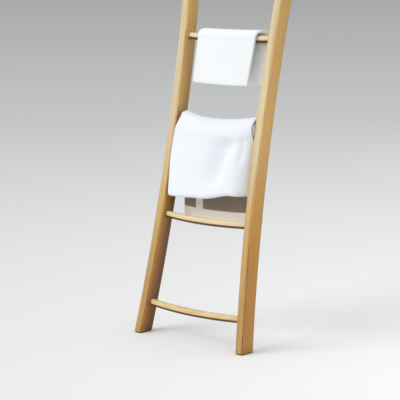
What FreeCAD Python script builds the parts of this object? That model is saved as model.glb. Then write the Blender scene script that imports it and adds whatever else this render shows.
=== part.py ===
import FreeCAD, Part

import math
import os

import Sketcher
from FreeCAD import Placement, Rotation, Vector

# A leaning blanket ladder with a folded hand towel and a folded blanket over two of its rungs.
# Millimetres. +X to the right seen from the front, front faces -Y, +Z up, floor at Z = 0.
# Heights named *_height are measured along the leaning rails, from the floor up.

RUNG_COUNT = 5
BLANKET_RUNG = 2   # index of the rung under the blanket, counted from the floor
TOWEL_RUNG = 3     # index of the rung under the towel
SIDES = (("left", -1), ("right", 1))
WARP_STATIONS = (-1, -0.5, 0, 0.5, 1)   # sections of a rung, as shares of its half length

SIZES = (
    # the frame
    ("lean_angle", 11),            # degrees back from upright
    ("rail_length", 1500),
    ("rail_width", 32),            # seen from the front
    ("rail_depth", 58),            # seen from the side
    ("rail_round", 8),             # corner radius of the rail's section
    ("rail_end_round", 3),         # softened rim of the top end
    ("waist_height", 720),         # where the two bowed rails come closest
    ("waist_half_width", 185),     # middle of the ladder to the middle of a rail there
    ("waist_inset", 36),           # how much further out a rail stands at the floor
    # the rungs
    ("first_rung_height", 103),
    ("rung_spacing", 300),
    ("rung_height", 24),           # at the middle
    ("rung_depth", 22),
    ("rung_end_height", 22),       # at the rails
    ("rung_end_depth", 20),
    ("rung_round", 5),
    ("rung_bow", 22),              # forward at the middle
    ("rung_dip", 6),               # down at the middle
    # the glued dowels
    ("dowel_diameter", 6),
    ("dowel_length", 32),
    ("dowel_pitch", 10),
    ("glue_play", 0.1),            # radial room for glue
    ("glue_well", 1),              # room past each end of a dowel
    # the pads
    ("foot_pad_thickness", 3),
    ("foot_pad_inset", 1.5),
    ("foot_pad_round", 7),
    ("wall_bevel_length", 60),
    ("wall_pad_diameter", 20),
    ("wall_pad_thickness", 3),
    # both cloths
    ("cloth_clearance", 0.3),
    # the towel
    ("towel_width", 240),
    ("towel_offset", 7),           # middle of the towel to the right of the rung's middle
    ("towel_thickness", 9),        # four layers
    ("towel_rise", 31),            # top of the fold over the rung's middle
    ("towel_drop", 150),           # hem below the rung's middle
    ("towel_skew", 26),            # how far the hem hangs over to the left
    ("towel_flare", 3),            # how far the front hem stands forward
    # the blanket
    ("blanket_side_gap", 2.5),     # to each rail where the rails come closest
    ("blanket_rear_thickness", 12),     # two layers
    ("blanket_front_thickness", 24),    # four layers
    ("blanket_front_reach", 50),   # front face before the rung's middle
    ("blanket_rise", 38),          # top of the fold over the rung, at the middle
    ("blanket_shoulder", 14),      # how much higher the fold stands at its two ends
    ("blanket_flare", 20),         # how far the front hem stands forward
    ("blanket_hem_gap", 78),       # front hem above the middle of the rung below
    ("blanket_front_slant", 14),   # more on the left, less on the right
    ("blanket_rear_drop", 303),
    ("blanket_rear_slant", 4),
)

# Vertical folds in the hems. Each has its place as a share of the half width, its depth in
# millimetres (outwards is positive) and its breadth as a share of the half width. They fade
# out towards the rung.
BLANKET_FOLDS = ((-0.55, 4, 0.3), (0.1, 5, 0.2), (0.45, -7, 0.2), (0.82, -9, 0.1))
BLANKET_REAR_FOLDS = ((-0.6, -1.4, 0.2), (-0.1, 1.4, 0.2), (0.5, -1.4, 0.2))
TOWEL_FOLDS = ((-0.45, 1.5, 0.3), (0.55, 1.5, 0.25))
BLANKET_STATIONS = 21   # sections along the blanket
TOWEL_STATIONS = 13

doc = FreeCAD.newDocument("blanket_ladder")
sheet = doc.addObject("Spreadsheet::Sheet", "sizes")
for row, (alias, number) in enumerate(SIZES, 1):
    sheet.set(f"A{row}", alias)
    sheet.set(f"B{row}", str(number))
    sheet.setAlias(f"B{row}", alias)
doc.recompute()

# Expressions that more than one piece is bound to
LEAN = "(sizes.lean_angle * 1 deg)"
BOW_RADIUS = "((sizes.waist_height ^ 2 + sizes.waist_inset ^ 2) / (2 * sizes.waist_inset))"
WALL_Y = (f"(sizes.rail_depth / 2 * cos({LEAN})"
          f" + (sizes.rail_length - sizes.wall_bevel_length) * sin({LEAN}))")
FOOT_Y = f"(sizes.foot_pad_thickness * tan({LEAN}))"
FRONT_Y = f"({FOOT_Y} - sizes.rail_depth / 2 / cos({LEAN}))"
CENTRING = f"(-({WALL_Y} + sizes.wall_pad_thickness + {FRONT_Y}) / 2)"


def value(expression):
    """The number that an expression has now."""
    result = sheet.evalExpression(expression)
    return float(getattr(result, "Value", result))


def size(alias):
    return float(sheet.get(alias))


def rail_x(height, face="0"):
    """Distance of a rail's middle, or of a face that far inwards, from the ladder's middle."""
    return (f"(sizes.waist_half_width + {BOW_RADIUS}"
            f" - sqrt(({BOW_RADIUS} + {face}) ^ 2 - ({height} - sizes.waist_height) ^ 2))")


def rung_place(index):
    return f"(sizes.first_rung_height + {index} * sizes.rung_spacing)"


def inner_x(height):
    return rail_x(height, "sizes.rail_width / 2")


def bind(thing, **paths):
    for path, expression in paths.items():
        thing.setExpression(path.replace("__", "."), expression)


def new_body(label, along="0"):
    """A body in the leaning plane of the ladder, moved up along it."""
    body = doc.addObject("PartDesign::Body", label)
    body.Label = label
    body.Placement = Placement(Vector(0, 0, 0), Rotation(Vector(-1, 0, 0), size("lean_angle")))
    bind(body,
         Placement__Rotation__Angle=LEAN,
         Placement__Base__y=f"{CENTRING} + {along} * sin({LEAN})",
         Placement__Base__z=f"{along} * cos({LEAN})")
    return body


def new_sketch(body, name, role, turn_axis=(0, 0, 1), **offsets):
    """A sketch on one of the body's own planes; offsets are x, y, z and turn, as expressions."""
    sketch = body.newObject("Sketcher::SketchObject", name)
    plane = [f for f in body.Origin.OriginFeatures if f.Role == role][0]
    sketch.AttachmentSupport = [(plane, "")]
    sketch.MapMode = "FlatFace"
    sketch.AttachmentOffset = Placement(Vector(0, 0, 0), Rotation(Vector(*turn_axis), 1))
    turn = offsets.pop("turn", "0")
    sketch.setExpression("AttachmentOffset.Rotation.Angle", turn)
    for axis, expression in offsets.items():
        sketch.setExpression(f"AttachmentOffset.Base.{axis}", expression)
    return sketch


def constrain(sketch, kind, *where, to=None):
    """Add one constraint; with a size it becomes a bound dimension."""
    if to is None:
        sketch.addConstraint(Sketcher.Constraint(kind, *where))
        return
    index = sketch.addConstraint(Sketcher.Constraint(kind, *where, value(to)))
    sketch.setExpression(f"Constraints[{index}]", to)


def rounded_rectangle(sketch, width, height, radius):
    """Four lines and four arcs round the sketch's origin."""
    x, y, r = value(width) / 2, value(height) / 2, value(radius)
    corners = ((x - r, r - y), (x - r, y - r), (r - x, y - r), (r - x, r - y))
    lines = (((r - x, -y), (x - r, -y)), ((x, r - y), (x, y - r)),
             ((x - r, y), (r - x, y)), ((-x, y - r), (-x, r - y)))
    for turn, (line, corner) in enumerate(zip(lines, corners)):
        start, end = (Vector(*p, 0) for p in line)
        circle = Part.Circle(Vector(*corner, 0), Vector(0, 0, 1), r)
        quarter = (turn - 1) * math.pi / 2
        sketch.addGeometry(Part.LineSegment(start, end))
        sketch.addGeometry(Part.ArcOfCircle(circle, quarter, quarter + math.pi / 2))
    for edge in range(8):
        constrain(sketch, "Tangent", edge, 2, (edge + 1) % 8, 1)
    for line in (0, 4):
        constrain(sketch, "Horizontal", line)
        constrain(sketch, "Vertical", line + 2)
    for arc in (3, 5, 7):
        constrain(sketch, "Equal", 1, arc)
    constrain(sketch, "Symmetric", 1, 3, 5, 3, -1, 1)
    constrain(sketch, "Radius", 1, to=radius)
    constrain(sketch, "DistanceX", 6, 1, 2, 1, to=width)
    constrain(sketch, "DistanceY", 0, 1, 4, 1, to=height)


def rectangle(sketch, left, bottom, right, top):
    """A rectangle between two corners, each given from the sketch's origin."""
    x0, y0, x1, y1 = (value(e) for e in (left, bottom, right, top))
    points = [Vector(x, y, 0) for x, y in ((x0, y0), (x1, y0), (x1, y1), (x0, y1))]
    for edge in range(4):
        sketch.addGeometry(Part.LineSegment(points[edge], points[(edge + 1) % 4]))
    for edge in range(4):
        constrain(sketch, "Coincident", edge, 2, (edge + 1) % 4, 1)
    for edge in (0, 2):
        constrain(sketch, "Horizontal", edge)
        constrain(sketch, "Vertical", edge + 1)
    constrain(sketch, "DistanceX", -1, 1, 0, 1, to=left)
    constrain(sketch, "DistanceY", -1, 1, 0, 1, to=bottom)
    constrain(sketch, "DistanceX", -1, 1, 2, 1, to=right)
    constrain(sketch, "DistanceY", -1, 1, 2, 1, to=top)


def circle_pair(sketch, diameter):
    """Two equal circles, one above the other, a dowel pitch apart."""
    half = value("sizes.dowel_pitch / 2")
    for end in (-1, 1):
        middle = Vector(0, end * half, 0)
        sketch.addGeometry(Part.Circle(middle, Vector(0, 0, 1), value(diameter) / 2))
    constrain(sketch, "Equal", 0, 1)
    constrain(sketch, "Diameter", 0, to=diameter)
    constrain(sketch, "Symmetric", 0, 3, 1, 3, -1, 1)
    constrain(sketch, "PointOnObject", 0, 3, -2)
    constrain(sketch, "DistanceY", 0, 3, 1, 3, to="sizes.dowel_pitch")


def cut(body, sketch, length=None, reverse=False):
    """A pocket that has to take something away; without a length it goes through all."""
    doc.recompute()
    before = body.Shape.Volume
    pocket = body.newObject("PartDesign::Pocket", f"{sketch.Name}_cut")
    pocket.Profile = sketch
    if length:
        pocket.Reversed = reverse
        pocket.setExpression("Length", length)
    else:
        pocket.Type = "ThroughAll"
        pocket.SideType = "Symmetric"
    doc.recompute()
    if body.Shape.Volume > before - 1:
        raise RuntimeError(f"{pocket.Name} cuts nothing")
    return pocket


def dowel_sockets(body, name, side, height, in_body):
    """Blind holes for a pair of dowels, drilled along X from a rail's face or a rung's end."""
    mouth = "(sizes.rail_width / 4)"   # the drill starts this far outside the wood
    outward = 1 if in_body == "rail" else -1
    level = height if in_body == "rail" else "0"
    start = f"{side} * ({inner_x(height)} - {outward} * {mouth})"
    sketch = new_sketch(body, name, "YZ_Plane", z=start, y=level)
    circle_pair(sketch, "sizes.dowel_diameter + 2 * sizes.glue_play")
    depth = f"{mouth} + sizes.dowel_length / 2 + sizes.glue_well"
    return cut(body, sketch, depth, reverse=side * outward > 0)


def make_rail(name, side):
    body = new_body(f"rail_{name}")
    section = new_sketch(body, f"rail_{name}_section", "XY_Plane",
                         x=f"{side} * sizes.waist_half_width", z="sizes.waist_height")
    rounded_rectangle(section, "sizes.rail_width", "sizes.rail_depth", "sizes.rail_round")
    # the bow's axis lies outside the ladder, level with the waist
    reach = value(f"{side} * {BOW_RADIUS}")
    axis = section.addGeometry(Part.LineSegment(Vector(reach, 0, 0), Vector(reach, 50, 0)), True)
    constrain(section, "Vertical", axis)
    constrain(section, "DistanceX", -1, 1, axis, 1, to=f"{side} * {BOW_RADIUS}")
    constrain(section, "DistanceY", -1, 1, axis, 1, to="0")
    constrain(section, "DistanceY", axis, 1, axis, 2, to="sizes.rail_depth")
    bow = body.newObject("PartDesign::Revolution", f"rail_{name}_bow")
    bow.Profile = section
    bow.ReferenceAxis = (section, ["Axis0"])
    bow.Midplane = True
    bow.setExpression("Angle", f"360 deg / pi * sizes.rail_length / {BOW_RADIUS}")
    foot = new_sketch(body, f"rail_{name}_foot", "YZ_Plane", turn=LEAN)
    rectangle(foot, "-2 * sizes.rail_length", "-2 * sizes.rail_length",
              "2 * sizes.rail_length", "sizes.foot_pad_thickness")
    cut(body, foot)
    top = new_sketch(body, f"rail_{name}_top", "YZ_Plane")
    rectangle(top, "-sizes.rail_depth", "sizes.rail_length", "sizes.rail_depth",
              "4 * sizes.rail_length")
    end = cut(body, top)
    rim = [f for f in end.Shape.Faces if abs(f.CenterOfMass.z - size("rail_length")) < 0.01][0]
    names = [f"Edge{i}" for i, e in enumerate(end.Shape.Edges, 1)
             if any(e.isSame(other) for other in rim.Edges)]
    soften = body.newObject("PartDesign::Fillet", f"rail_{name}_rim")
    soften.Base = (end, names)
    soften.setExpression("Radius", "sizes.rail_end_round")
    wall = new_sketch(body, f"rail_{name}_wall", "YZ_Plane", turn=LEAN)
    rectangle(wall, WALL_Y, "sizes.foot_pad_thickness", f"{WALL_Y} + 2 * sizes.rail_depth",
              "2 * sizes.rail_length")
    cut(body, wall)
    for index in range(RUNG_COUNT):
        dowel_sockets(body, f"rail_{name}_socket_{index + 1}", side, rung_place(index), "rail")
    return body


def make_rung(index):
    """A slat that bows forward and dips a little, with ends cut to lie flat on the bowed rails."""
    label = f"rung_{index + 1}"
    height = rung_place(index)
    body = new_body(label, height)
    slope = f"asin(({height} - sizes.waist_height) / ({BOW_RADIUS} + sizes.rail_width / 2))"
    sections = []
    for number, share in enumerate(WARP_STATIONS):
        swell = 1 - share ** 2
        turn = f"{share} * {slope}" if abs(share) == 1 else "0"
        section = new_sketch(body, f"{label}_section_{number}", "YZ_Plane", turn_axis=(1, 0, 0),
                             turn=turn,
                             x=f"-sizes.rung_bow * {swell}",
                             y=f"-sizes.rung_dip * {swell}",
                             z=f"{share} * {inner_x(height)}")
        rounded_rectangle(
            section,
            f"sizes.rung_end_depth + (sizes.rung_depth - sizes.rung_end_depth) * {swell}",
            f"sizes.rung_end_height + (sizes.rung_height - sizes.rung_end_height) * {swell}",
            "sizes.rung_round")
        sections.append(section)
    loft = body.newObject("PartDesign::AdditiveLoft", f"{label}_slat")
    loft.Profile = sections[0]
    loft.Sections = sections[1:]
    for name, side in SIDES:
        dowel_sockets(body, f"{label}_socket_{name}", side, height, "rung")
    return body


def make_dowels(index):
    """Four glued dowels, two in each end of one rung."""
    label = f"dowels_rung_{index + 1}"
    height = rung_place(index)
    body = new_body(label, height)
    for name, side in SIDES:
        start = f"{side} * {inner_x(height)} - sizes.dowel_length / 2"
        sketch = new_sketch(body, f"{label}_{name}", "YZ_Plane", z=start)
        circle_pair(sketch, "sizes.dowel_diameter")
        pad = body.newObject("PartDesign::Pad", f"{label}_{name}_pins")
        pad.Profile = sketch
        pad.setExpression("Length", "sizes.dowel_length")
    return body


def make_foot_pad(name, side):
    """A rubber pad under the level foot of a rail, set in a little all round."""
    body = doc.addObject("PartDesign::Body", f"foot_pad_{name}")
    body.Label = f"foot_pad_{name}"
    bind(body,
         Placement__Base__x=f"{side} * {rail_x('sizes.foot_pad_thickness')}",
         Placement__Base__y=f"{CENTRING} + {FOOT_Y}")
    sketch = new_sketch(body, f"foot_pad_{name}_outline", "XY_Plane")
    rounded_rectangle(sketch, "sizes.rail_width - 2 * sizes.foot_pad_inset",
                      f"sizes.rail_depth / cos({LEAN}) - 2 * sizes.foot_pad_inset",
                      "sizes.foot_pad_round")
    pad = body.newObject("PartDesign::Pad", f"foot_pad_{name}_slab")
    pad.Profile = sketch
    pad.setExpression("Length", "sizes.foot_pad_thickness")
    return body


def make_wall_pad(name, side):
    """A round felt pad on the upright flat that is planed on the back of a rail's top end."""
    low = (f"((sizes.rail_length - sizes.wall_bevel_length) * cos({LEAN})"
           f" - sizes.rail_depth / 2 * sin({LEAN}))")
    high = f"((sizes.rail_length - {WALL_Y} * sin({LEAN})) / cos({LEAN}))"
    level = f"(({low} + {high}) / 2)"
    along = f"({WALL_Y} * sin({LEAN}) + {level} * cos({LEAN}))"
    body = doc.addObject("PartDesign::Body", f"wall_pad_{name}")
    body.Label = f"wall_pad_{name}"
    bind(body,
         Placement__Base__x=f"{side} * {rail_x(along)}",
         Placement__Base__y=f"{CENTRING} + {WALL_Y}",
         Placement__Base__z=level)
    sketch = new_sketch(body, f"wall_pad_{name}_outline", "XZ_Plane")
    sketch.addGeometry(Part.Circle(Vector(0, 0, 0), Vector(0, 0, 1), size("wall_pad_diameter") / 2))
    constrain(sketch, "Coincident", 0, 3, -1, 1)
    constrain(sketch, "Diameter", 0, to="sizes.wall_pad_diameter")
    pad = body.newObject("PartDesign::Pad", f"wall_pad_{name}_disc")
    pad.Profile = sketch
    pad.Reversed = True
    pad.setExpression("Length", "sizes.wall_pad_thickness")
    return body


def cloth_section(place, front, rear, hole, ridge, rise, shoulder):
    """One closed section of a cloth folded over a rung, as an upside-down U.

    front and rear are (face, hem, drop, wall): how far the outer face stands from the rung's
    middle at the top and at the hem, how low the hem hangs and how thick it is.
    place(y, z) puts a point in the room.
    """
    front_face, front_hem, front_drop, front_wall = front
    rear_face, rear_hem, rear_drop, rear_wall = rear
    diagonal = math.sqrt(0.5)
    # the front arc is level at the ridge and ends at the shoulder
    width, height = front_face + ridge, rise + shoulder
    radius = (width ** 2 + height ** 2) / (2 * height)
    start = math.atan2(radius - height, -width) % (2 * math.pi)
    turn = (start + math.pi / 2) / 2
    over_front = place(ridge + radius * math.cos(turn), rise - radius + radius * math.sin(turn))
    # the rear arc is a quarter of a circle
    corner = rear_face - ridge
    over_rear = place(ridge + corner * diagonal, rise - corner * (1 - diagonal))
    outline = [place(-front_hem, -front_drop), place(-front_face, -shoulder), place(ridge, rise),
               place(rear_face, rise - corner), place(rear_hem, -rear_drop),
               place(rear_hem - rear_wall, -rear_drop), place(hole, 0), place(0, hole),
               place(-hole, 0), place(front_wall - front_hem, -front_drop)]
    arcs = {1: over_front, 2: over_rear, 6: place(hole * diagonal, hole * diagonal),
            7: place(-hole * diagonal, hole * diagonal)}
    edges = []
    for number, point in enumerate(outline):
        end = outline[(number + 1) % len(outline)]
        if number in arcs:
            edges.append(Part.Arc(point, arcs[number], end).toShape())
        else:
            edges.append(Part.LineSegment(point, end).toShape())
    return Part.Wire(edges)


def rung_middle(index, x):
    """Where the middle of a rung runs at x: its distance back and its height in the room."""
    height = size("first_rung_height") + index * size("rung_spacing")
    half = value(inner_x(rung_place(index)))
    swell = 1 - (x / half) ** 2
    lean = math.radians(size("lean_angle"))
    depth, along = -size("rung_bow") * swell, height - size("rung_dip") * swell
    y = depth * math.cos(lean) + along * math.sin(lean) + value(CENTRING)
    return y, along * math.cos(lean) - depth * math.sin(lean)


def hole_radius():
    """The cloth's inside over a rung: a circle round the rung's rounded section."""
    corner = size("rung_round")
    across, up = size("rung_depth") / 2 - corner, size("rung_height") / 2 - corner
    return math.hypot(across, up) + corner + size("cloth_clearance")


def fold_depth(folds, share):
    """How far out the folds push a hem at that share of its half width."""
    return sum(depth * math.exp(-((share - middle) / breadth) ** 2)
               for middle, depth, breadth in folds)


def shares(stations):
    """Evenly spaced from -1 at the left edge to 1 at the right edge."""
    return [2 * number / (stations - 1) - 1 for number in range(stations)]


def cloth_solid(label, sections):
    """A ruled loft through the sections, from edge to edge."""
    feature = doc.addObject("Part::Feature", label)
    feature.Label = label
    feature.Shape = Part.makeLoft(sections, True, True)
    feature.Placement = Placement()
    return feature


def make_towel():
    wall, hole = size("towel_thickness"), hole_radius()
    drop, lean_left = size("towel_drop"), size("towel_skew") / size("towel_drop")
    sections = []
    for share in shares(TOWEL_STATIONS):
        x = size("towel_offset") + share * size("towel_width") / 2
        y0, z0 = rung_middle(TOWEL_RUNG, x)
        # the skewed hem still follows the bow of the rung
        lean_back = (y0 - rung_middle(TOWEL_RUNG, x - size("towel_skew"))[0]) / drop

        def place(y, z, x=x, y0=y0, z0=z0, lean_back=lean_back):
            return Vector(x + z * lean_left, y0 + y + z * lean_back, z0 + z)

        flare = size("towel_flare") + fold_depth(TOWEL_FOLDS, share)
        front = (hole + wall, hole + wall + flare, drop, wall)
        rear = (hole + wall, hole + wall, drop, wall)
        sections.append(cloth_section(place, front, rear, hole, 0, size("towel_rise"), 0))
    return cloth_solid("hand_towel", sections)


def make_blanket():
    wall, hole, face = size("blanket_rear_thickness"), hole_radius(), size("blanket_front_reach")
    half_width = size("waist_half_width") - size("rail_width") / 2 - size("blanket_side_gap")
    drop = rung_middle(BLANKET_RUNG, 0)[1] - rung_middle(BLANKET_RUNG - 1, 0)[1]
    drop -= size("blanket_hem_gap")
    sections = []
    for share in shares(BLANKET_STATIONS):
        x = share * half_width
        y0, z0 = rung_middle(BLANKET_RUNG, x)

        def place(y, z, x=x, y0=y0, z0=z0):
            return Vector(x, y0 + y, z0 + z)

        rise = size("blanket_rise") + size("blanket_shoulder") * share ** 2
        front = (face, face + size("blanket_flare") + fold_depth(BLANKET_FOLDS, share),
                 drop - share * size("blanket_front_slant"),
                 size("blanket_front_thickness"))
        rear = (hole + wall, hole + wall + fold_depth(BLANKET_REAR_FOLDS, share),
                size("blanket_rear_drop") - share * size("blanket_rear_slant"), wall)
        sections.append(cloth_section(place, front, rear, hole, size("rung_depth") / 3, rise,
                                      face / 2))
    return cloth_solid("blanket", sections)


pieces = [make_rail(name, side) for name, side in SIDES]
pieces += [make_rung(index) for index in range(RUNG_COUNT)]
pieces += [make_dowels(index) for index in range(RUNG_COUNT)]
pieces += [make_foot_pad(name, side) for name, side in SIDES]
pieces += [make_wall_pad(name, side) for name, side in SIDES]
pieces += [make_towel(), make_blanket()]
doc.recompute()

for thing in doc.Objects:
    if "Invalid" in thing.State or "Error" in thing.State:
        raise RuntimeError(f"{thing.Label} failed: {thing.State}")
for piece in pieces:
    if piece.Shape.isNull() or not piece.Shape.isValid() or not piece.Shape.Solids:
        raise RuntimeError(f"{piece.Label} has no valid solid")

os.makedirs("parts", exist_ok=True)
for piece in pieces:
    piece.Shape.exportStep(f"parts/{piece.Label}.step")
    box = piece.Shape.BoundBox
    print(f"{piece.Label}: {len(piece.Shape.Solids)} solid(s), {piece.Shape.Volume / 1000:.1f} cm3,"
          f" x {box.XMin:.1f}..{box.XMax:.1f}, y {box.YMin:.1f}..{box.YMax:.1f},"
          f" z {box.ZMin:.1f}..{box.ZMax:.1f}")
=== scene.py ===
import bmesh
import bpy
import math
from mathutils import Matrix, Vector, noise


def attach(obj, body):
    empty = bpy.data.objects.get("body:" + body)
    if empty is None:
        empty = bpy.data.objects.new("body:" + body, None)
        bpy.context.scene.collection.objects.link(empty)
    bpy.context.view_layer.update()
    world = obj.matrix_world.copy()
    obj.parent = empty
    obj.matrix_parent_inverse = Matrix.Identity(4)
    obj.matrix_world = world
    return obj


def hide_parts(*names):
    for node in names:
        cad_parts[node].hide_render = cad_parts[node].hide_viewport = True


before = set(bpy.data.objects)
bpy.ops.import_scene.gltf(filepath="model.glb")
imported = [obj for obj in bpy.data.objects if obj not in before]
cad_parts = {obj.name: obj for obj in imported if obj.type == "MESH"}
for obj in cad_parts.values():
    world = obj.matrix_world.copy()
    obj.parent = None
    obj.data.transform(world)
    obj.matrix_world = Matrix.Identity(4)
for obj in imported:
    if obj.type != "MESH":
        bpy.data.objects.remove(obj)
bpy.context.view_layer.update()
print("frame loaded:", len(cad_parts), "nodes")

# metres; +X right, -Y front, +Z up, as the ladder stands


def fill(tree, node, sockets):
    # sockets maps an input's name or number to a value or to another node's output
    for name, value in sockets.items():
        if isinstance(value, bpy.types.NodeSocket):
            tree.links.new(value, node.inputs[name])
        else:
            node.inputs[name].default_value = value


def put(tree, kind, sockets=None, **settings):
    made = tree.nodes.new("ShaderNode" + kind)
    for name, value in settings.items():
        setattr(made, name, value)
    fill(tree, made, sockets or {})
    return made


def calc(tree, operation, a, b=0.0, clamp=False):
    return put(tree, "Math", {0: a, 1: b}, operation=operation, use_clamp=clamp).outputs[0]


def stretch(tree, vector, factors):
    return put(tree, "VectorMath", {0: vector, 1: factors}, operation="MULTIPLY").outputs[0]


def nudge(tree, vector, offset):
    return put(tree, "VectorMath", {0: vector, 1: offset}, operation="ADD").outputs[0]


def share(tree, value, start, end, low=0.0, high=1.0):
    # low at start, high at end, and evenly between
    return put(tree, "MapRange", {0: value, 1: start, 2: end, 3: low, 4: high}).outputs[0]


def speckle(tree, vector, scale, detail):
    return put(tree, "TexNoise", {"Vector": vector, "Scale": scale, "Detail": detail}).outputs


def ramp(tree, fac, stops):
    made = put(tree, "ValToRGB", {"Fac": fac})
    points = made.color_ramp.elements
    while len(points) < len(stops):
        points.new(0.5)
    for point, (position, colour) in zip(points, stops):
        point.position = position
        point.color = (*colour, 1)
    return made.outputs["Color"]


def blendColours(tree, fac, first, second, mode="MIX"):
    first, second = (colour if isinstance(colour, bpy.types.NodeSocket) else (*colour, 1)
                     for colour in (first, second))
    made = put(tree, "Mix", {0: fac, 6: first, 7: second}, data_type="RGBA", blend_type=mode)
    return made.outputs[2]


def raised(tree, height, strength, distance, under=None):
    # a bump, on top of another where under is given
    sockets = {"Strength": strength, "Distance": distance, "Height": height}
    if under:
        sockets["Normal"] = under
    return put(tree, "Bump", sockets).outputs[0]


def newGroup(name, inputs, outputs):
    tree = bpy.data.node_groups.new(name, "ShaderNodeTree")
    for label, kind, start in inputs:
        socket = tree.interface.new_socket(label, in_out="INPUT", socket_type="NodeSocket" + kind)
        if start is not None:
            socket.default_value = start
    for label, kind in outputs:
        tree.interface.new_socket(label, in_out="OUTPUT", socket_type="NodeSocket" + kind)
    return tree, tree.nodes.new("NodeGroupInput").outputs, tree.nodes.new("NodeGroupOutput")


def newMaterial(name, sockets):
    # sockets are the shader's values that are the same all over
    material = bpy.data.materials.new(name)
    material.use_nodes = True
    shader = material.node_tree.nodes["Principled BSDF"]
    fill(material.node_tree, shader, sockets)
    return material, material.node_tree, shader


def srgb(r, g, b):
    # a colour as it is read off a screen, made linear
    return tuple(v / 255 / 12.92 if v < 10.3 else ((v / 255 + 0.055) / 1.055) ** 2.4
                 for v in (r, g, b))


grainLook = {
    # less is longer along the grain
    "ringLength": 0.045, "fibreLength": 0.02, "poreLength": 0.035,
    # how the rings stray and how they bend
    "wander": 9.0, "wanderReach": 0.022, "bend": 1.2, "bendDetail": 2.0, "bendScale": 1.5,
    "fibreDetail": 4.0, "fibreRoughness": 0.6, "fibreHeight": 0.5,
    "cloudScale": 14.0, "poreScale": 820.0, "poreFrom": (0.62, 0.72),
    "ringShare": 0.3, "fibreShare": 0.55, "cloudShare": 0.4, "darker": 0.12,
}


def makeGrainGroup(look):
    # growth rings, fibres and pores in solid wood; the grain runs along Z of the vector
    tree, given, out = newGroup(
        "longGrain",
        (("Vector", "Vector", None), ("Ring Scale", "Float", 30.0), ("Fibre Scale", "Float", 260.0)),
        (("Tone", "Float"), ("Pores", "Float"), ("Height", "Float")))
    drawn, fibreWay, poreWay = (stretch(tree, given["Vector"], (1, 1, look[length]))
                                for length in ("ringLength", "fibreLength", "poreLength"))
    wander = speckle(tree, drawn, look["wander"], detail=3.0)["Color"]
    reach = look["wanderReach"]
    bent = nudge(tree, drawn, stretch(tree, wander, (reach, reach, 0)))
    rings = put(tree, "TexWave", {
        "Vector": bent, "Scale": given["Ring Scale"], "Distortion": look["bend"],
        "Detail": look["bendDetail"], "Detail Scale": look["bendScale"]},
        wave_type="RINGS", rings_direction="Z", wave_profile="SAW").outputs["Fac"]
    fibres = put(tree, "TexNoise", {
        "Vector": fibreWay, "Scale": given["Fibre Scale"],
        "Detail": look["fibreDetail"], "Roughness": look["fibreRoughness"]}).outputs["Fac"]
    cloud = speckle(tree, drawn, look["cloudScale"], detail=2.0)["Fac"]
    tone = calc(tree, "MULTIPLY", rings, look["ringShare"])
    tone = calc(tree, "ADD", tone, calc(tree, "MULTIPLY", fibres, look["fibreShare"]))
    tone = calc(tree, "ADD", tone, calc(tree, "MULTIPLY", cloud, look["cloudShare"]))
    tone = calc(tree, "SUBTRACT", tone, look["darker"], clamp=True)
    pores = speckle(tree, poreWay, look["poreScale"], detail=1.0)["Fac"]
    pores = share(tree, pores, *look["poreFrom"])
    height = calc(tree, "SUBTRACT", calc(tree, "MULTIPLY", fibres, look["fibreHeight"]), pores)
    fill(tree, out, {"Tone": tone, "Pores": pores, "Height": height})
    return tree


grainGroup = makeGrainGroup(grainLook)

# the tints multiply the grain's colours
railWood = {
    "light": srgb(233, 216, 180), "middle": srgb(218, 196, 153), "dark": srgb(194, 165, 117),
    "pore": srgb(156, 122, 78),
    "side": (1.08, 0.84, 0.48),     # the sides are tinted more golden: partly the wood's own deeper tone, partly painted shade
    "low": (0.68, 0.50, 0.28),      # the wood is more golden towards the floor
    "knee": (1.0, 0.92, 0.70),      # and yellower half-way down
    # under darkens the faces that look down: painted shade
    "under": (0.8, 0.74, 0.66), "underShadeFrom": (0.08, -0.15),
    "arris": (0.62, 0.52, 0.36),    # darker on the rounded corners near the floor painted shade on the rear of the two inner sides, deeper towards the floor
    "inner": (0.34, 0.30, 0.20),    # and the rear of the two inner sides
    "ringScale": 34.0, "fibreScale": 240.0, "roughness": 0.42,
    "grainShift": {"left": (0.31, 0.012, 0.4), "right": (-0.16, 0.018, 1.7)},
}
noTint = (1.0, 1.0, 1.0)
rungWood = {
    "light": srgb(244, 230, 200), "middle": srgb(235, 216, 180), "dark": srgb(219, 194, 150),
    "pore": srgb(178, 144, 100),
    # under is painted shade: a dark line along the underside of each rung
    "low": (0.90, 0.81, 0.62), "under": (0.14, 0.085, 0.03), "underShadeFrom": (0.17, -0.01),
    "side": noTint, "knee": noTint, "arris": noTint, "inner": noTint,
    "ringScale": 40.0, "fibreScale": 260.0, "roughness": 0.45,
    "grainStep": (0.03, 0.37), "grainAside": 0.02,   # each rung is cut from another place
}
woodFinish = {
    "tones": (0.2, 0.5, 0.85), "poreShare": 0.35, "specular": 0.4,
    "bump": 0.25, "bumpDepth": 0.0004, "rougher": 0.1, "smoother": 0.06,
    # where each tint starts and where it is full, by how far the surface faces aside
    "sideways": (0.45, 0.95), "cornerStarts": (0.3, 0.55), "cornerEnds": (0.65, 0.9),
    "inwards": (0.5, 0.9),
    # the same by height, and last by how far back it lies in the leaning plane
    "low": (0.7, 0.12), "kneeStarts": (0.60, 0.44), "kneeEnds": (0.28, 0.12),
    "innerShadeLow": (1.3, 0.5), "rearward": (-0.168, -0.128),
}


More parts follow.
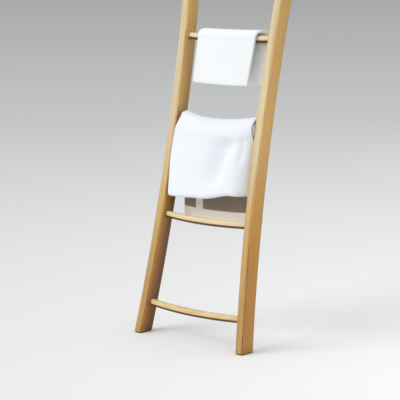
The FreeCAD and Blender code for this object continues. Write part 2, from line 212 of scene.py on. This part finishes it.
def makeWood(name, turn, shift, look, inside=0.0):
    # inside is the sign of the face along X that looks into the ladder
    finish = woodFinish
    material, tree, shader = newMaterial(name, {"Roughness": look["roughness"],
                                                "Specular IOR Level": finish["specular"]})
    place = put(tree, "TexCoord").outputs
    along = put(tree, "Mapping", {"Vector": place["Object"], "Location": shift,
                                  "Rotation": turn}).outputs[0]
    grain = put(tree, "Group", {"Vector": along, "Ring Scale": look["ringScale"],
                                "Fibre Scale": look["fibreScale"]}, node_tree=grainGroup).outputs
    colours = (look["dark"], look["middle"], look["light"])
    colour = ramp(tree, grain["Tone"], list(zip(finish["tones"], colours)))
    pores = calc(tree, "MULTIPLY", grain["Pores"], finish["poreShare"])
    colour = blendColours(tree, pores, colour, look["pore"])
    facing = put(tree, "SeparateXYZ", {0: place["Normal"]}).outputs
    spot = put(tree, "SeparateXYZ", {0: place["Object"]}).outputs
    low = share(tree, spot[2], *finish["low"])
    knee = calc(tree, "SUBTRACT", share(tree, spot[2], *finish["kneeStarts"]),
                share(tree, spot[2], *finish["kneeEnds"]))
    sideways = calc(tree, "ABSOLUTE", facing[0])
    corner = calc(tree, "SUBTRACT", share(tree, sideways, *finish["cornerStarts"]),
                  share(tree, sideways, *finish["cornerEnds"]))
    leantBack = calc(tree, "MULTIPLY", spot[2], math.tan(ladder["lean"]))
    rearward = share(tree, calc(tree, "SUBTRACT", spot[1], leantBack), *finish["rearward"])
    # painted shade on the inner sides, at their rear and more towards the floor
    innerShadeMask = share(tree, calc(tree, "MULTIPLY", facing[0], inside), *finish["inwards"])
    innerShadeMask = calc(tree, "MULTIPLY", innerShadeMask, share(tree, spot[2], *finish["innerShadeLow"]))
    # the side tint is partly painted shade on the faces that look aside
    for tint, amount in (("side", share(tree, sideways, *finish["sideways"])),
                         ("low", low), ("knee", knee),
                         # the under tint is painted shade on the faces that look down
                         ("under", share(tree, facing[2], *look["underShadeFrom"])),
                         ("arris", calc(tree, "MULTIPLY", corner, low)),
                         # the inner tint is painted shade on the rear of the inner sides
                         ("inner", calc(tree, "MULTIPLY", innerShadeMask, rearward))):
        colour = blendColours(tree, amount, colour, look[tint], "MULTIPLY")
    fill(tree, shader, {
        "Base Color": colour,
        "Roughness": share(tree, grain["Tone"], 0, 1, look["roughness"] + finish["rougher"],
                           look["roughness"] - finish["smoother"]),
        "Normal": raised(tree, grain["Height"], finish["bump"], finish["bumpDepth"])})
    return material


ladder = {
    "lean": math.radians(11),
    "railLength": 1.5, "railWidth": 0.032, "railDepth": 0.058, "railRound": 0.008,
    "waistHeight": 0.72, "waistHalf": 0.185,
    "waistInset": 0.036,        # how much closer to the middle a rail is there than at its foot
    "endRound": 0.003, "footRound": 0.0012, "railSteps": 40, "roundSteps": 6,
    "smoothBelow": math.radians(32),
    "overLength": 1.1,          # the bow is swept that much too long, and then cut
    "footPad": 0.003, "wallPad": 0.003,
    "wallBevel": 0.060,         # how far down the rail its upright flat starts
    "firstRung": 0.103, "rungSpacing": 0.300, "rungCount": 5,
    "bow": 0.022, "dip": 0.006, "rungSteps": 28,
    "rungHeight": 0.024, "rungDepth": 0.022, "endHeight": 0.022, "endDepth": 0.020,
    "rungRound": 0.005, "rungUnderRound": 0.0075,
    "tenon": 0.0015,            # a rung's end goes that far into the rail's curved face
    "clothPlay": 0.0003,        # the room between a rung and the cloth round it
}
leanCos, leanSin = math.cos(ladder["lean"]), math.sin(ladder["lean"])
bowRadius = (ladder["waistHeight"] ** 2 + ladder["waistInset"] ** 2) / (2 * ladder["waistInset"])
wallY = ladder["railDepth"] / 2 * leanCos + (ladder["railLength"] - ladder["wallBevel"]) * leanSin
frontY = ladder["footPad"] * leanSin / leanCos - ladder["railDepth"] / 2 / leanCos
centring = -(wallY + ladder["wallPad"] + frontY) / 2
rungHole = (math.hypot(ladder["rungDepth"] / 2 - ladder["rungRound"],
                       ladder["rungHeight"] / 2 - ladder["rungRound"])
            + ladder["rungRound"] + ladder["clothPlay"])
hair = 0.00001                  # two places closer than that are the same one


def rungAlong(number):
    return ladder["firstRung"] + (number - 1) * ladder["rungSpacing"]


def innerX(along):
    # a rail's inner face at that place along the ladder
    reach = bowRadius + ladder["railWidth"] / 2
    fromWaist = along - ladder["waistHeight"]
    return ladder["waistHalf"] + bowRadius - math.sqrt(reach ** 2 - fromWaist ** 2)


def startPiece(place, turn, size):
    # a flat rectangle in edit mode, all of it selected
    bpy.ops.object.select_all(action="DESELECT")
    bpy.ops.mesh.primitive_plane_add(size=1, location=place, rotation=turn)
    piece = bpy.context.object
    bpy.ops.object.mode_set(mode="EDIT")
    bpy.ops.mesh.select_all(action="SELECT")
    bpy.ops.transform.resize(value=size, center_override=place)
    return piece


def cutAway(place, normal):
    # takes off all that lies past the plane and closes the cut
    bpy.ops.mesh.select_all(action="SELECT")
    bpy.ops.mesh.bisect(plane_co=place, plane_no=normal, use_fill=True, clear_outer=True)


def softenEdges(piece, test, width, segments):
    bpy.ops.mesh.select_all(action="DESELECT")
    bpy.ops.mesh.select_mode(type="EDGE")
    shape = bmesh.from_edit_mesh(piece.data)
    for edge in shape.edges:
        if all(test(piece.matrix_world @ corner.co) for corner in edge.verts):
            edge.select_set(True)
    bmesh.update_edit_mesh(piece.data)
    bpy.ops.mesh.bevel(offset=width, segments=segments, affect="EDGES")


def roundCorners(piece, test, width):
    bpy.ops.mesh.select_all(action="DESELECT")
    bpy.ops.mesh.select_mode(type="VERT")
    shape = bmesh.from_edit_mesh(piece.data)
    for corner in shape.verts:
        corner.select_set(test(piece.matrix_world @ corner.co))
    bmesh.update_edit_mesh(piece.data)
    bpy.ops.mesh.bevel(offset=width, segments=ladder["roundSteps"], affect="VERTICES")


def leanBack():
    bpy.ops.mesh.select_all(action="SELECT")
    bpy.ops.transform.rotate(value=ladder["lean"], orient_axis="X", center_override=(0, 0, 0))


def finishPiece(piece, name, material):
    bpy.ops.mesh.select_all(action="SELECT")
    bpy.ops.transform.translate(value=(0, centring, 0))
    bpy.ops.mesh.remove_doubles(threshold=hair)
    bpy.ops.mesh.normals_make_consistent(inside=False)
    bpy.ops.object.mode_set(mode="OBJECT")
    bpy.ops.object.transform_apply(location=True, rotation=True, scale=True)
    bpy.ops.object.shade_smooth_by_angle(angle=ladder["smoothBelow"])
    piece.name = piece.data.name = name
    piece.data.materials.append(material)


def makeRail(side, sign):
    # the section at the waist, swept round the bow, then cut to the floor, the top and the wall
    look = ladder
    waist = (sign * look["waistHalf"], 0, look["waistHeight"])
    rail = startPiece(waist, (0, 0, 0), (look["railWidth"], look["railDepth"], 1))
    bpy.ops.mesh.bevel(offset=look["railRound"], segments=look["roundSteps"], affect="VERTICES")
    middle = (sign * (look["waistHalf"] + bowRadius), 0, look["waistHeight"])
    reach = look["overLength"] * (look["railLength"] - look["waistHeight"]) / bowRadius
    bpy.ops.transform.rotate(value=reach, orient_axis="Y", center_override=middle)
    bpy.ops.mesh.spin(steps=look["railSteps"], angle=2 * reach, center=middle, axis=(0, -1, 0))
    cutAway((0, 0, look["railLength"]), (0, 0, 1))
    softenEdges(rail, lambda p: p.z > look["railLength"] - hair, look["endRound"], segments=4)
    leanBack()
    cutAway((0, 0, look["footPad"]), (0, 0, -1))
    softenEdges(rail, lambda p: p.z < look["footPad"] + hair, look["footRound"], segments=2)
    cutAway((0, wallY, 0), (0, 1, 0))
    softenEdges(rail, lambda p: p.y > wallY - hair, look["footRound"], segments=2)
    wood = makeWood("railWood" + side.title(), (look["lean"], 0, 0), railWood["grainShift"][side],
                    railWood, inside=-sign)
    finishPiece(rail, "rail" + side.title(), wood)
    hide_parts("rail_" + side)
    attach(rail, "ladder")


def makeRung(number):
    # a rounded section drawn out in steps along the bow and the dip
    look = ladder
    along = rungAlong(number)
    half = innerX(along)
    lowest = along - look["endHeight"] / 2
    last = None
    for step in range(look["rungSteps"] + 1):
        x = (2 * step / look["rungSteps"] - 1) * (half + look["tenon"])
        swell = max(0, 1 - (x / half) ** 2)
        place = Vector((x, -look["bow"] * swell, along - look["dip"] * swell))
        size = Vector((1, look["endDepth"] + (look["rungDepth"] - look["endDepth"]) * swell,
                       look["endHeight"] + (look["rungHeight"] - look["endHeight"]) * swell))
        if last is None:
            rung = startPiece(place, (0, math.pi / 2, 0), size)
            roundCorners(rung, lambda p: p.z > along, look["rungRound"])
            roundCorners(rung, lambda p: p.z < lowest + 10 * hair, look["rungUnderRound"])
            bpy.ops.mesh.select_all(action="SELECT")
        else:
            bpy.ops.mesh.extrude_region_move(TRANSFORM_OT_translate={"value": place - last[0]})
            grown = (1, size.y / last[1].y, size.z / last[1].z)
            bpy.ops.transform.resize(value=grown, center_override=place)
        last = place, size
    leanBack()
    aside, onwards = rungWood["grainStep"]
    shift = (aside * number, rungWood["grainAside"], onwards * number)
    wood = makeWood(f"rungWood{number}", (0, -math.pi / 2, 0), shift, rungWood)
    finishPiece(rung, f"rung{number}", wood)
    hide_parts(f"rung_{number}")
    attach(rung, "ladder")
    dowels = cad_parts[f"dowels_rung_{number}"].data.materials
    dowels.clear()
    dowels.append(wood)


makeRail("left", -1)
makeRail("right", 1)
for number in range(1, ladder["rungCount"] + 1):
    makeRung(number)
print("wood done")


padLook = {
    "foot": {"colour": srgb(46, 42, 38), "grainSize": 0.0012, "depth": 0.0002},
    "wall": {"colour": srgb(196, 190, 180), "grainSize": 0.0009, "depth": 0.0006},
}
padFinish = {"roughness": 0.85, "darker": 0.72, "darkFrom": 0.3, "lightFrom": 0.7, "bump": 0.6}


def makePadMaterial(name, look):
    finish = padFinish
    material, tree, shader = newMaterial(name, {"Roughness": finish["roughness"]})
    place = put(tree, "TexCoord").outputs["Object"]
    grain = speckle(tree, place, 1 / look["grainSize"], detail=5.0)["Fac"]
    dark = tuple(finish["darker"] * part for part in look["colour"])
    stops = ((finish["darkFrom"], dark), (finish["lightFrom"], look["colour"]))
    fill(tree, shader, {"Base Color": ramp(tree, grain, stops),
                        "Normal": raised(tree, grain, finish["bump"], look["depth"])})
    return material


for kind, look in padLook.items():
    material = makePadMaterial(kind + "Pad", look)
    for side in ("left", "right"):
        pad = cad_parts[f"{kind}_pad_{side}"]
        pad.data.materials.clear()
        pad.data.materials.append(material)
print("pads done")


weaveLook = {
    "uneven": 130.0, "unevenReach": 0.0006, "threadHeight": 0.5,
    "toneFrom": (0.3, 0.7), "darkest": 0.97,
}
hemLook = {
    "rowAt": 0.82,              # where the row of stitches lies, as a share of the hem
    "rowHalf": 0.0005, "rowDepth": 0.8, "stitchShare": 0.7, "stitchHeight": 0.5,
}


def makeWeaveGroup(look):
    # crossing threads, uneven as spun yarn is
    tree, given, out = newGroup(
        "clothWeave", (("Vector", "Vector", None), ("Threads", "Float", 700.0)),
        (("Height", "Float"), ("Tone", "Float")))
    uneven = speckle(tree, given["Vector"], look["uneven"], detail=2.0)
    reach = look["unevenReach"]
    shifted = nudge(tree, given["Vector"], stretch(tree, uneven["Color"], (reach, reach, 0)))
    split = put(tree, "SeparateXYZ", {0: shifted}).outputs
    waves = []
    for axis in (0, 1):
        angle = calc(tree, "MULTIPLY", split[axis], given["Threads"])
        waves.append(calc(tree, "MULTIPLY", calc(tree, "SINE", angle), look["threadHeight"]))
    fill(tree, out, {"Height": calc(tree, "MAXIMUM", waves[0], waves[1]),
                     "Tone": share(tree, uneven["Fac"], *look["toneFrom"], look["darkest"], 1.0)})
    return tree


def makeHemGroup(look):
    # a turned hem with a row of stitches, all round a cut of Width by Length
    tree, given, out = newGroup(
        "stitchedHem",
        (("Vector", "Vector", None), ("Width", "Float", 0.5), ("Length", "Float", 0.7),
         ("Hem", "Float", 0.012), ("Stitch", "Float", 0.0035)),
        (("Height", "Float"),))
    split = put(tree, "SeparateXYZ", {0: given["Vector"]}).outputs
    nearest = []
    for axis, total in ((0, given["Width"]), (1, given["Length"])):
        other = calc(tree, "SUBTRACT", total, split[axis])
        nearest.append(calc(tree, "MINIMUM", split[axis], other))
    inset = calc(tree, "MINIMUM", nearest[0], nearest[1])
    turned = calc(tree, "LESS_THAN", inset, given["Hem"])
    row = calc(tree, "SUBTRACT", inset, calc(tree, "MULTIPLY", given["Hem"], look["rowAt"]))
    row = calc(tree, "LESS_THAN", calc(tree, "ABSOLUTE", row), look["rowHalf"])
    alongHem = calc(tree, "ADD", split[0], split[1])
    dash = calc(tree, "FRACT", calc(tree, "DIVIDE", alongHem, given["Stitch"]))
    stitches = calc(tree, "MULTIPLY", row, calc(tree, "LESS_THAN", dash, look["stitchShare"]))
    height = calc(tree, "SUBTRACT", turned, calc(tree, "MULTIPLY", row, look["rowDepth"]))
    height = calc(tree, "ADD", height, calc(tree, "MULTIPLY", stitches, look["stitchHeight"]))
    fill(tree, out, {"Height": height})
    return tree


weaveGroup = makeWeaveGroup(weaveLook)
hemGroup = makeHemGroup(hemLook)

clothFinish = {
    "roughness": 0.92, "sheen": 0.2, "sheenRoughness": 0.5, "specular": 0.2,
    "shadeFrom": 0.3, "colourFrom": 0.6,
    "softBump": 0.3, "weaveBump": 0.4, "weaveDepth": 0.0002, "hemBump": 0.7, "hemDepth": 0.0008,
}


def checkBands(tree, place, checks):
    # 1 in the bands of a windowpane check, 0 in its ground
    split = put(tree, "SeparateXYZ", {0: place}).outputs
    bands = []
    for axis, start in ((0, checks["startAcross"]), (1, checks["startAlong"])):
        turn = calc(tree, "DIVIDE", calc(tree, "SUBTRACT", split[axis], start), checks["pitch"])
        spot = calc(tree, "ABSOLUTE", calc(tree, "SUBTRACT", calc(tree, "FRACT", turn), 0.5))
        edge = 0.5 - checks["band"] / checks["pitch"] / 2
        bands.append(share(tree, spot, edge - checks["blur"], edge + checks["blur"]))
    return calc(tree, "MAXIMUM", bands[0], bands[1])


def makeCloth(name, look, checks=None):
    # reads the piece's UV map, which is in metres on the flat cloth
    finish = clothFinish
    material, tree, shader = newMaterial(name, {
        "Roughness": finish["roughness"], "Specular IOR Level": finish["specular"],
        "Sheen Weight": finish["sheen"], "Sheen Roughness": finish["sheenRoughness"]})
    place = put(tree, "UVMap", uv_map="flatCloth").outputs[0]
    weave = put(tree, "Group", {"Vector": place, "Threads": look["threads"]},
                node_tree=weaveGroup).outputs
    hem = put(tree, "Group", {"Vector": place, "Width": look["cut"][0], "Length": look["cut"][1],
                              "Hem": look["hem"]}, node_tree=hemGroup).outputs
    fluff = speckle(tree, place, look["fluff"], detail=4.0)["Fac"]
    colour = ramp(tree, fluff, ((finish["shadeFrom"], look["shade"]),
                                (finish["colourFrom"], look["colour"])))
    # on the reverse, the check's ground is painted shade and its bands are painted light
    if checks:
        ground = ramp(tree, fluff, ((finish["shadeFrom"], checks["groundShade"]),
                                    (finish["colourFrom"], checks["ground"])))
        colour = blendColours(tree, checkBands(tree, place, checks), ground, checks["bandPaintedLight"])
    colour = blendColours(tree, 1.0, colour, weave["Tone"], "MULTIPLY")
    soft = raised(tree, fluff, finish["softBump"], look["fluffDepth"])
    woven = raised(tree, weave["Height"], finish["weaveBump"], finish["weaveDepth"], soft)
    hemmed = raised(tree, hem["Height"], finish["hemBump"], finish["hemDepth"], woven)
    fill(tree, shader, {"Base Color": colour, "Normal": hemmed})
    return material


def rungLine(number, x):
    # the middle of a rung at x: its y and z
    along = rungAlong(number)
    swell = 1 - (x / innerX(along)) ** 2
    depth, along = -ladder["bow"] * swell, along - ladder["dip"] * swell
    return depth * leanCos + along * leanSin + centring, along * leanCos - depth * leanSin


def ease(t):
    t = min(max(t, 0), 1)
    return t * t * (3 - 2 * t)


def bell(x, middle, breadth):
    return math.exp(-((x - middle) / breadth) ** 2)


def foldDepth(folds, part):
    return sum(depth * bell(part, middle, breadth) for middle, depth, breadth in folds)


def rippled(look, x, y, z):
    scaleX, scaleY, scaleZ = look["rippleScale"]
    spot = Vector((x * scaleX, z * scaleZ, look["rippleStart"] + y * scaleY))
    return look["ripple"] * noise.noise(spot)


pathSteps = {"front": 16, "over": 9, "back": 5, "rear": 17, "turn": 6, "plyTurn": 4}
edgeCrowding = 0.25     # how far the columns of the grid crowd towards the edges


def outlineOver(front, rear, ridge, rise, shoulder, turnRoom):
    # the outer face in one upright section, as (y, z) from the front hem to the rear hem;
    # front and rear are (face, hem, drop)
    frontFace, frontHem, frontDrop = front
    rearFace, rearHem, rearDrop = rear
    width, height = frontFace + ridge, rise + shoulder
    radius = (width ** 2 + height ** 2) / (2 * height)
    start = math.atan2(radius - height, -width) % (2 * math.pi)
    corner = rearFace - ridge
    steps = pathSteps
    lower = Vector((-frontHem, -frontDrop + turnRoom))
    upper = Vector((-frontFace, -shoulder))
    points = [lower.lerp(upper, n / steps["front"]) for n in range(steps["front"])]
    for n in range(steps["over"]):
        turn = start + (math.pi / 2 - start) * n / steps["over"]
        points.append(Vector((ridge + radius * math.cos(turn),
                              rise - radius + radius * math.sin(turn))))
    for n in range(steps["back"]):
        turn = math.pi / 2 * (1 - n / steps["back"])
        points.append(Vector((ridge + corner * math.cos(turn),
                              rise - corner + corner * math.sin(turn))))
    upper = Vector((rearFace, rise - corner))
    lower = Vector((rearHem, -rearDrop))
    return points + [upper.lerp(lower, n / steps["rear"]) for n in range(steps["rear"] + 1)]


def inwards(points):
    # unit normals towards the rung, for a path that climbs the front and falls down the rear
    made = []
    for n, point in enumerate(points):
        tangent = points[min(n + 1, len(points) - 1)] - points[max(n - 1, 0)]
        tangent.normalize()
        made.append(Vector((tangent.y, -tangent.x)))
    return made


def foldedPath(outer, band, innerCount):
    # the middle of a band of cloth: down the inner leaf, round the front hem, then over and down;
    # the inner leaf lies one band inside the outer one and starts innerCount points up from the hem
    normals = inwards(outer)
    inner = [p + n * band * 1.5 for p, n in zip(outer[:innerCount], normals)]
    outerLine = [p + n * band * 0.5 for p, n in zip(outer, normals)]
    middle = (inner[0] + outerLine[0]) / 2
    arm = inner[0] - middle
    turnBack = []
    for n in range(1, pathSteps["turn"]):
        turn = math.pi * n / pathSteps["turn"]
        below = Vector((0, arm.length * math.sin(turn)))
        turnBack.append(middle + arm * math.cos(turn) - below)
    return list(reversed(inner)) + turnBack + outerLine


def crossProfile(halfWidth, plies, pitch, count):
    # (x, offset) across a cloth folded in plies, from the outermost ply inwards; turns join them
    profile = []
    edge = halfWidth - pitch / 2
    for ply in range(plies):
        offset = pitch * (ply - (plies - 1) / 2)
        back = ply % 2 == 1
        for n in range(count + 1):
            part = 1 - 2 * n / count if back else 2 * n / count - 1
            part = math.sin(part * math.pi / 2) * edgeCrowding + part * (1 - edgeCrowding)
            profile.append((part * edge, offset))
        if ply < plies - 1:
            sign = -1 if back else 1
            for n in range(1, pathSteps["plyTurn"]):
                turn = math.pi * n / pathSteps["plyTurn"]
                profile.append((sign * (edge + pitch / 2 * math.sin(turn)),
                                offset + pitch / 2 * (1 - math.cos(turn))))
    return profile


def makeFoldedCloth(name, look, pathAt, placeAt, materials):
    # one grid of cloth laid along pathAt(x) and across the profile, then given its thickness
    profile = crossProfile(look["halfWidth"], look["plies"], look["plyPitch"], look["across"])
    across = [0.0]
    for (x0, f0), (x1, f1) in zip(profile, profile[1:]):
        across.append(across[-1] + math.hypot(x1 - x0, f1 - f0))
    vertices = []
    for x, offset in profile:
        path = pathAt(x)
        for point, normal in zip(path, inwards(path)):
            y, z = point + normal * offset
            vertices.append(placeAt(x, y, z))
    middle = pathAt(0)
    along = [0.0]
    for first, second in zip(middle, middle[1:]):
        along.append(along[-1] + (second - first).length)
    rows, columns = len(profile), len(middle)
    corners = [i * columns + k for i in range(rows - 1) for k in range(columns - 1)]
    mesh = bpy.data.meshes.new(name)
    mesh.from_pydata(vertices, [], [(a, a + columns, a + columns + 1, a + 1) for a in corners])
    uvLayer = mesh.uv_layers.new(name="flatCloth")
    for loop in mesh.loops:
        i, k = divmod(loop.vertex_index, columns)
        uvLayer.data[loop.index].uv = (across[i], along[k])
    for material in materials:
        mesh.materials.append(material)
    mesh.polygons.foreach_set("use_smooth", [True] * len(mesh.polygons))
    piece = bpy.data.objects.new(name, mesh)
    bpy.context.scene.collection.objects.link(piece)
    bpy.ops.object.select_all(action="DESELECT")
    piece.select_set(True)
    bpy.context.view_layer.objects.active = piece
    solid = piece.modifiers.new("thickness", "SOLIDIFY")
    solid.thickness = look["thickness"]
    solid.offset = 0
    solid.material_offset = len(materials) - 1
    bpy.ops.object.modifier_apply(modifier=solid.name)
    smooth = piece.modifiers.new("roundEdges", "SUBSURF")
    smooth.levels = smooth.render_levels = 1
    bpy.ops.object.modifier_apply(modifier=smooth.name)
    width, length = round(across[-1], 3), round(along[-1], 3)
    print(name, "made:", len(piece.data.polygons), "faces, cut", width, "by", length)
    return piece


# folds are (middle, depth, breadth), the first and last as shares of the half width
towelLook = {
    "rung": 4, "halfWidth": 0.120, "shiftRight": 0.007, "drop": 0.150, "skew": 0.026,
    "rise": 0.031, "flare": 0.003,
    "folds": ((-0.45, 0.0015, 0.3), (0.55, 0.0015, 0.25)),
    # the rear leaf lies further to the right; behind is where it has got there, back from the rung
    "rearAside": 0.028, "rearSkew": 0.004, "behind": 0.018,
    "plies": 2, "plyPitch": 0.00225, "across": 34, "thickness": 0.0018,
    "ripple": 0.0007, "rippleScale": (22, 8, 16), "rippleStart": 3,
    "colour": srgb(248, 251, 254), "shade": srgb(243, 247, 251),
    "threads": 5200.0, "fluff": 900.0, "fluffDepth": 0.0004,
    "hem": 0.012, "cut": (0.479, 0.748),
}


def towelPath(x):
    look = towelLook
    band = look["plies"] * look["plyPitch"]
    face = rungHole + 2 * band
    hem = face + look["flare"] + foldDepth(look["folds"], x / look["halfWidth"])
    front, rear = (face, hem, look["drop"]), (face, face, look["drop"])
    outer = outlineOver(front, rear, 0, look["rise"], 0, band)
    return foldedPath(outer, band, len(outer))


def towelPlace(x, y, z):
    look = towelLook
    behind = ease(y / look["behind"] / 2 + 0.5)
    x += look["shiftRight"] + look["rearAside"] * behind
    y0, z0 = rungLine(look["rung"], x)
    skew = look["skew"] + (look["rearSkew"] - look["skew"]) * behind
    leanBackwards = (y0 - rungLine(look["rung"], x - skew)[0]) / look["drop"]
    push = z * leanBackwards + rippled(look, x, y, z)
    return (x + z * skew / look["drop"], y0 + y + push, z0 + z)


towel = makeFoldedCloth("handTowel", towelLook, towelPath, towelPlace,
                        [makeCloth("towelCotton", towelLook)])
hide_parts("hand_towel")
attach(towel, "towel")


blanketLook = {
    "rung": 3, "halfWidth": 0.1665, "frontDrop": 0.2165, "frontSlant": 0.014,
    "rearDrop": 0.303, "rearSlant": 0.004,
    "rise": 0.038, "endRise": 0.014, "face": 0.050, "flare": 0.020, "ridge": 0.00733,
    "folds": ((-0.55, 0.004, 0.3), (0.1, 0.005, 0.2), (0.45, -0.007, 0.2), (0.82, -0.009, 0.1)),
    "rearFolds": ((-0.6, -0.0014, 0.2), (-0.1, 0.0014, 0.2), (0.5, -0.0014, 0.2)),
    "plies": 3, "plyPitch": 0.004, "across": 36, "thickness": 0.0035,
    "ripple": 0.0006, "rippleScale": (14, 5, 11), "rippleStart": 7,
    "frontFrom": 0.015,     # what follows is full that far in front of the rung's hole
    # creases: (x, z) at the top and at the bottom, depth, breadth left and right of it
    "creases": (((0.146, 0.004), (0.136, -0.100), 0.0100, 0.007, 0.006),
                ((0.101, -0.006), (0.034, -0.180), 0.0210, 0.045, 0.027)),
    # as shares of a crease's length: where it is full, where it ends and over how much it fades
    "creaseFade": (0.25, 1.15, 0.4),
    # the right-hand edge turns back past a line from the top to the hem: it starts at the
    # height from, and fullAt is the share of the way down where it has its whole slope
    "turnedEdge": {"top": 0.150, "low": 0.132, "slope": 1.25, "soft": 0.006, "from": 0.050,
                   "fullAt": 0.41},
    # the left end of the fold is drawn in, and hangs less far forward; each starts that far
    # below the rung
    "drawnIn": {"aside": 0.015, "back": 0.012, "from": 0.045, "backBelow": 0.12,
                "asideBelow": 0.03},
    # the front hem's waves: x, how much lower, breadth
    "hemWaves": ((0.0, 0.002, 0.04), (0.092, -0.006, 0.035)),
    "colour": srgb(242, 245, 251), "shade": srgb(236, 240, 248),
    "threads": 3600.0, "fluff": 500.0, "fluffDepth": 0.0006,
    "hem": 0.016, "cut": (1.0, 0.873),
}
# the reverse is drawn as a windowpane check: its taupe ground is painted shade between the flaps
# under the front hem, its cream bands are painted light on the rear flap's folds and lower hem
blanketReverseShadeAndLight = {
    "pitch": 0.220, "band": 0.034, "blur": 0.006, "startAcross": 0.091, "startAlong": 0.196,
    "bandPaintedLight": srgb(252, 244, 230),
    "ground": srgb(152, 135, 120), "groundShade": srgb(140, 124, 111),
}


def blanketPath(x):
    look = blanketLook
    part = x / look["halfWidth"]
    band = look["plies"] * look["plyPitch"]
    hem = look["face"] + look["flare"] + foldDepth(look["folds"], part)
    rearFace = rungHole + band
    front = (look["face"], hem, look["frontDrop"] - part * look["frontSlant"])
    rear = (rearFace, rearFace + foldDepth(look["rearFolds"], part),
            look["rearDrop"] - part * look["rearSlant"])
    rise = look["rise"] + look["endRise"] * part ** 2
    outer = outlineOver(front, rear, look["ridge"], rise, look["face"] / 2, band)
    return foldedPath(outer, band, pathSteps["front"] + pathSteps["over"])


def creasePush(x, z):
    look = blanketLook
    full, end, fade = look["creaseFade"]
    push = 0
    for (topX, topZ), (lowX, lowZ), depth, left, right in look["creases"]:
        down = (topZ - z) / (topZ - lowZ)
        line = topX + (lowX - topX) * down
        fades = ease(down / full) * ease((end - down) / fade)
        push += depth * fades * bell(x, line, left if x < line else right)
    return push


def turnedPush(x, z):
    edge = blanketLook["turnedEdge"]
    down = min(max((edge["from"] - z) / (edge["from"] + blanketLook["frontDrop"]), 0), 1)
    past = x - edge["top"] - (edge["low"] - edge["top"]) * down
    bent = (past + math.hypot(past, edge["soft"])) / 2
    return ease(down / edge["fullAt"]) * edge["slope"] * bent


def blanketPlace(x, y, z):
    look, drawn = blanketLook, blanketLook["drawnIn"]
    y0, z0 = rungLine(look["rung"], x)
    inFront = ease((-y - rungHole) / look["frontFrom"])
    leftEnd = ease((-x - drawn["from"]) / (look["halfWidth"] - drawn["from"]))
    back = drawn["back"] * leftEnd * ease((z + drawn["backBelow"]) / drawn["backBelow"])
    aside = drawn["aside"] * leftEnd * ease((z + drawn["asideBelow"]) / drawn["asideBelow"] / 2)
    push = rippled(look, x, y, z) + inFront * (creasePush(x, z) + turnedPush(x, z) + back)
    wave = sum(lower * bell(x, middle, breadth) for middle, lower, breadth in look["hemWaves"])
    z -= wave * inFront * ease(-z / look["frontDrop"])
    return (x + aside, y0 + y + push, z0 + z)


blanket = makeFoldedCloth("blanketThrow", blanketLook, blanketPath, blanketPlace,
                          [makeCloth("blanketFace", blanketLook),
                           makeCloth("blanketReverse", blanketLook, blanketReverseShadeAndLight)])
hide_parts("blanket")
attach(blanket, "throw")


floorLook = {
    "radius": 60, "corners": 96, "brightSpot": (1.7, 0.47), "spread": 36.0,
    "tones": (255, 255, 232, 201, 184, 172),     # painted light: the floor's grey from the bright spot outwards, a pool of light fading away
}
lightLook = {
    "sky": 0.74, "skyColour": (0.955, 0.98, 1),
    "beyond": 171,      # the grey that shows past the floor
    "toSun": (-0.34, -0.72, 0.62), "sun": 1.3, "sunSpread": 40, "sunColour": (1, 0.975, 0.93),
}
cameraLook = {
    "position": (3.2533, -3.7915, 1.2583), "target": (-0.0515, -0.0387, 0.4532), "view": 14.84,
    "aside": -0.0017,   # how far it stands to its right of that, with the same turn
    "reach": 120,
}


def makeFloor(look):
    bpy.ops.object.select_all(action="DESELECT")
    bpy.ops.mesh.primitive_circle_add(vertices=look["corners"], radius=look["radius"],
                                      fill_type="NGON")
    floor = bpy.context.object
    floor.name = "floor"
    material, tree, shader = newMaterial("studioFloor", {"Roughness": 1.0,
                                                         "Specular IOR Level": 0.0})
    place = put(tree, "TexCoord").outputs["Object"]
    # the floor's grey paints a pool of light that fades away from the bright spot
    away = put(tree, "VectorMath", {0: place, 1: (*look["brightSpot"], 0)}, operation="DISTANCE")
    steps = calc(tree, "ADD", away.outputs["Value"], 1.0)
    steps = calc(tree, "LOGARITHM", steps, look["spread"])
    stops = [(n / (len(look["tones"]) - 1), srgb(t, t, t)) for n, t in enumerate(look["tones"])]
    fill(tree, shader, {"Base Color": ramp(tree, steps, stops)})
    floor.data.materials.append(material)


def makeLight(look):
    world = bpy.data.worlds.new("studio")
    bpy.context.scene.world = world
    world.use_nodes = True
    tree = world.node_tree
    sky = tree.nodes["Background"]
    fill(tree, sky, {"Strength": look["sky"], "Color": (*look["skyColour"], 1)})
    beyond = srgb(look["beyond"], look["beyond"], look["beyond"])
    seen = put(tree, "Background", {"Color": (*beyond, 1), "Strength": 1.0})
    path = put(tree, "LightPath").outputs
    flag = calc(tree, "MAXIMUM", path["Is Glossy Ray"], path["Is Transmission Ray"])
    flag = calc(tree, "MAXIMUM", path["Is Camera Ray"], flag)
    mixed = put(tree, "MixShader", {0: flag, 1: sky.outputs[0], 2: seen.outputs[0]})
    fill(tree, tree.nodes["World Output"], {"Surface": mixed.outputs[0]})
    lamp = bpy.data.lights.new("keySun", "SUN")
    lamp.energy, lamp.color = look["sun"], look["sunColour"]
    lamp.angle = math.radians(look["sunSpread"])
    sun = bpy.data.objects.new("keySun", lamp)
    sun.rotation_euler = Vector(look["toSun"]).to_track_quat("Z", "Y").to_euler()
    bpy.context.scene.collection.objects.link(sun)


def makeCamera(look):
    lens = bpy.data.cameras.new("camera")
    lens.sensor_fit = "HORIZONTAL"
    lens.angle = math.radians(look["view"])
    lens.clip_end = look["reach"]
    camera = bpy.data.objects.new("camera", lens)
    gaze = Vector(look["target"]) - Vector(look["position"])
    aside = gaze.cross(Vector((0, 0, 1))).normalized() * look["aside"]
    camera.location = Vector(look["position"]) + aside
    camera.rotation_euler = gaze.to_track_quat("-Z", "Y").to_euler()
    bpy.context.scene.collection.objects.link(camera)
    bpy.context.scene.camera = camera
    bpy.context.scene.view_settings.view_transform = "Standard"


makeFloor(floorLook)
makeLight(lightLook)
makeCamera(cameraLook)
print("floor, light and camera done")
